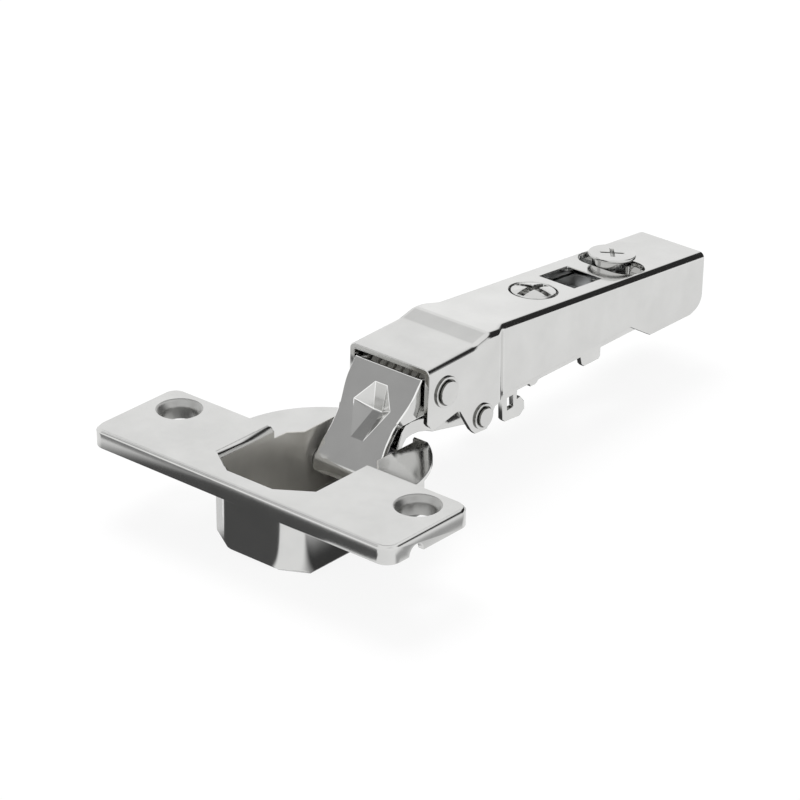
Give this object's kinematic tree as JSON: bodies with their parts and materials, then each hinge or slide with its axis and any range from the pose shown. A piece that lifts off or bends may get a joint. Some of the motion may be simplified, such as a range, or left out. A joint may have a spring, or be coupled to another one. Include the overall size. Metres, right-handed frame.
{
  "type": "concealed cabinet hinge",
  "caption": "Concealed cup hinge with screw-on flange, four-bar linkage and clip-on channel arm with adjusting screws, door open square.",
  "frame": {"origin": "centre of the cup on the door's face", "axes": "+X along the screw flange, +Y from the cup towards the arm's rear end, +Z out of the door's face"},
  "size_m": [0.065, 0.1121, 0.0255],
  "materials": {
    "nickel_plate": "bright nickel plating on pressed steel, smooth and mirror-like with soft edges",
    "rivet_steel": "bright plated rivet heads",
    "screw_steel": "bright plated screw heads",
    "pin_steel": "drawn steel pin, dull",
    "spring_steel": "oiled spring wire",
    "zinc_plate": "zinc-plated steel, satin",
    "grey_plastic": "moulded grey plastic"
  },
  "bodies": {
    "cup": {"cup": "nickel_plate", "outer_pin": "pin_steel", "inner_pin": "pin_steel", "closing_spring_left": "spring_steel", "closing_spring_right": "spring_steel"},
    "inner_link": {"inner_link": "nickel_plate"},
    "outer_link": {"outer_link": "nickel_plate"},
    "arm": {"arm": "nickel_plate", "front_rivet": "rivet_steel", "rear_rivet": "rivet_steel", "nose_spacer": "grey_plastic"},
    "side_screw": {"side_screw": "screw_steel"},
    "adjust_plate": {"adjust_plate": "zinc_plate"},
    "depth_cam": {"depth_cam": "screw_steel", "cam_collar": "zinc_plate"},
    "carrier": {"carrier": "nickel_plate", "latch_pin": "pin_steel", "latch_spring": "spring_steel"},
    "latch_lever": {"latch_lever": "nickel_plate"}
  },
  "joints": [
    {"name": "inner_link_pivot", "type": "hinge", "parent": "cup", "child": "inner_link", "pos_m": [0, 0.0121, -0.00305], "axis": [1, 0, 0], "range_deg": [-26.14, 117.65]},
    {"name": "outer_link_pivot", "type": "hinge", "parent": "cup", "child": "outer_link", "pos_m": [0, 0.0085, -0.0049], "axis": [1, 0, 0], "range_deg": [-23.5, 105.6]},
    {"name": "arm_pivot", "type": "hinge", "parent": "inner_link", "child": "arm", "pos_m": [0, 0.0308, -0.0004], "axis": [1, 0, 0], "range_deg": [-27.7, 6.2]},
    {"name": "side_screw_turn", "type": "hinge", "parent": "arm", "child": "side_screw", "pos_m": [0, 0.0541, 0.01183], "axis": [0, 0.0976, 0.9952], "range_deg": [-250, 250]},
    {"name": "plate_tilt", "type": "hinge", "parent": "arm", "child": "adjust_plate", "pos_m": [0, 0.07493, 0.00597], "axis": [1, 0, 0], "range_deg": [-1.5, 1.5]},
    {"name": "depth_cam_turn", "type": "hinge", "parent": "adjust_plate", "child": "depth_cam", "pos_m": [0, 0.0753, 0.00975], "axis": [0, 0.0976, 0.9952], "range_deg": [-50, 50]},
    {"name": "carrier_slide", "type": "slide", "parent": "adjust_plate", "child": "carrier", "axis": [0, 0.9952, -0.0976], "range_m": [-0.00092, 0.00092]},
    {"name": "latch_pivot", "type": "hinge", "parent": "carrier", "child": "latch_lever", "pos_m": [0, 0.0802, 0.0015], "axis": [1, 0, 0], "range_deg": [0, 12], "stiffness_Nm_per_rad": 0.004, "springref_deg": -17.19}
  ],
  "couplings": [
    {"joint": "outer_link_pivot", "follows": "inner_link_pivot", "ratio": 0.8965},
    {"joint": "arm_pivot", "follows": "inner_link_pivot", "ratio": -0.235},
    {"joint": "side_screw_turn", "follows": "plate_tilt", "ratio": 166.67},
    {"joint": "depth_cam_turn", "follows": "carrier_slide", "rad_per_m": 947.87}
  ]
}
